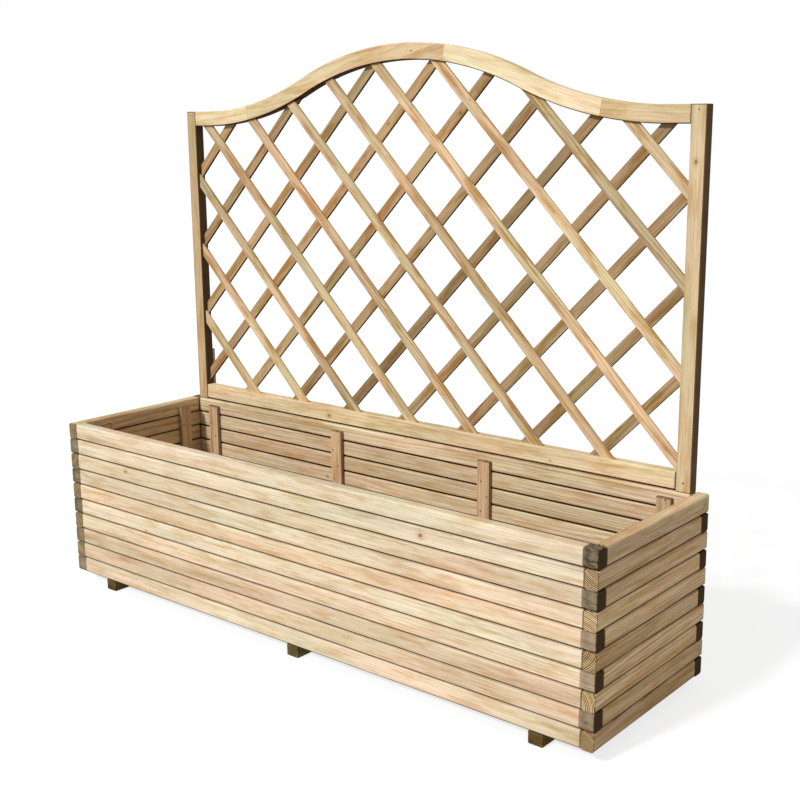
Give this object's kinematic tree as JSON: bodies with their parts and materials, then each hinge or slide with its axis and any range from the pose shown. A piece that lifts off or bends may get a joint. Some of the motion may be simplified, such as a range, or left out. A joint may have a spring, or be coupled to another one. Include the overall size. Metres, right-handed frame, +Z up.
{
  "type": "planter with trellis",
  "caption": "Long slatted-timber planter box on bearers, with a framed diamond lattice trellis under an arched top rail standing on its back wall.",
  "frame": {"origin": "on the ground, under the middle of the overall bounding box, which runs from the front wall to the battens behind the trellis posts", "axes": "+X along the planter's length, to the right as seen from the front; +Y from the front wall to the back wall; +Z up"},
  "size_m": [1.8, 0.5164, 1.5442],
  "materials": {
    "wall_timber": "planed softwood, untreated look, ends dark with a dip stain",
    "batten_timber": "planed softwood",
    "frame_timber": "planed softwood",
    "slat_timber": "planed softwood",
    "base_timber": "sawn, pressure-treated softwood with a green tinge"
  },
  "bodies": {
    "root": {"base_pallet": "base_timber", "front_board_01": "wall_timber", "front_board_02": "wall_timber", "front_board_03": "wall_timber", "front_board_04": "wall_timber", "front_board_05": "wall_timber", "front_board_06": "wall_timber", "front_board_07": "wall_timber", "front_board_08": "wall_timber", "front_board_09": "wall_timber", "back_board_01": "wall_timber", "back_board_02": "wall_timber", "back_board_03": "wall_timber", "back_board_04": "wall_timber", "back_board_05": "wall_timber", "back_board_06": "wall_timber", "back_board_07": "wall_timber", "back_board_08": "wall_timber", "back_board_09": "wall_timber", "left_board_01": "wall_timber", "left_board_02": "wall_timber", "left_board_03": "wall_timber", "left_board_04": "wall_timber", "left_board_05": "wall_timber", "left_board_06": "wall_timber", "left_board_07": "wall_timber", "left_board_08": "wall_timber", "left_board_09": "wall_timber", "right_board_01": "wall_timber", "right_board_02": "wall_timber", "right_board_03": "wall_timber", "right_board_04": "wall_timber", "right_board_05": "wall_timber", "right_board_06": "wall_timber", "right_board_07": "wall_timber", "right_board_08": "wall_timber", "right_board_09": "wall_timber", "front_board_10_and_battens": "wall_timber", "back_board_10_and_battens": "wall_timber", "left_board_10_and_battens": "wall_timber", "right_board_10_and_battens": "wall_timber", "post_left": "frame_timber", "post_right": "frame_timber", "bottom_rail": "frame_timber", "arch_rail": "frame_timber", "slat_pair_01": "slat_timber", "slat_pair_02": "slat_timber", "slat_pair_03": "slat_timber", "slat_pair_04": "slat_timber", "slat_pair_05": "slat_timber", "slat_pair_06": "slat_timber", "slat_pair_07": "slat_timber", "slat_pair_08": "slat_timber", "slat_pair_09": "slat_timber", "slat_pair_10": "slat_timber", "slat_pair_11": "slat_timber", "backing_batten_left": "batten_timber", "backing_batten_right": "batten_timber"}
  },
  "joints": []
}
